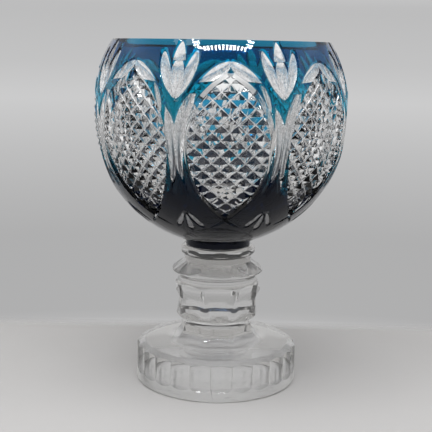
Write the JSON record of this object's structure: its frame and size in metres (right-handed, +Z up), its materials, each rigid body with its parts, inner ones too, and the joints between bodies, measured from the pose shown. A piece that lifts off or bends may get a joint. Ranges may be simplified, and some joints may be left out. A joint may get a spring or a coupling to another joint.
{
  "type": "footed crystal bowl",
  "caption": "Footed round bowl of clear crystal with a thin blue casing cut through to clear glass in panels of relief diamonds, on a ringed stem and a thick fluted foot.",
  "frame": {"origin": "the middle of the foot's flat underside, where the bowl stands on a table", "axes": "+Z up along the bowl's own axis, through the stem to the open mouth; a panel of relief diamonds faces -Y"},
  "size_m": [0.1768, 0.1768, 0.243],
  "materials": {
    "clear_glass": "fire-clear lead crystal, cut and polished",
    "blue_glass": "thin transparent cobalt-teal blue casing, polished"
  },
  "bodies": {
    "root": {"foot": "clear_glass", "stem": "clear_glass", "collar": "clear_glass", "bowl_crystal": "clear_glass", "casing_shoulder": "blue_glass", "casing_base": "blue_glass", "casing_tip_1": "blue_glass", "casing_tip_2": "blue_glass", "casing_tip_3": "blue_glass", "casing_tip_4": "blue_glass", "casing_tip_5": "blue_glass", "casing_tip_6": "blue_glass", "casing_tip_7": "blue_glass", "casing_tip_8": "blue_glass"}
  },
  "joints": []
}
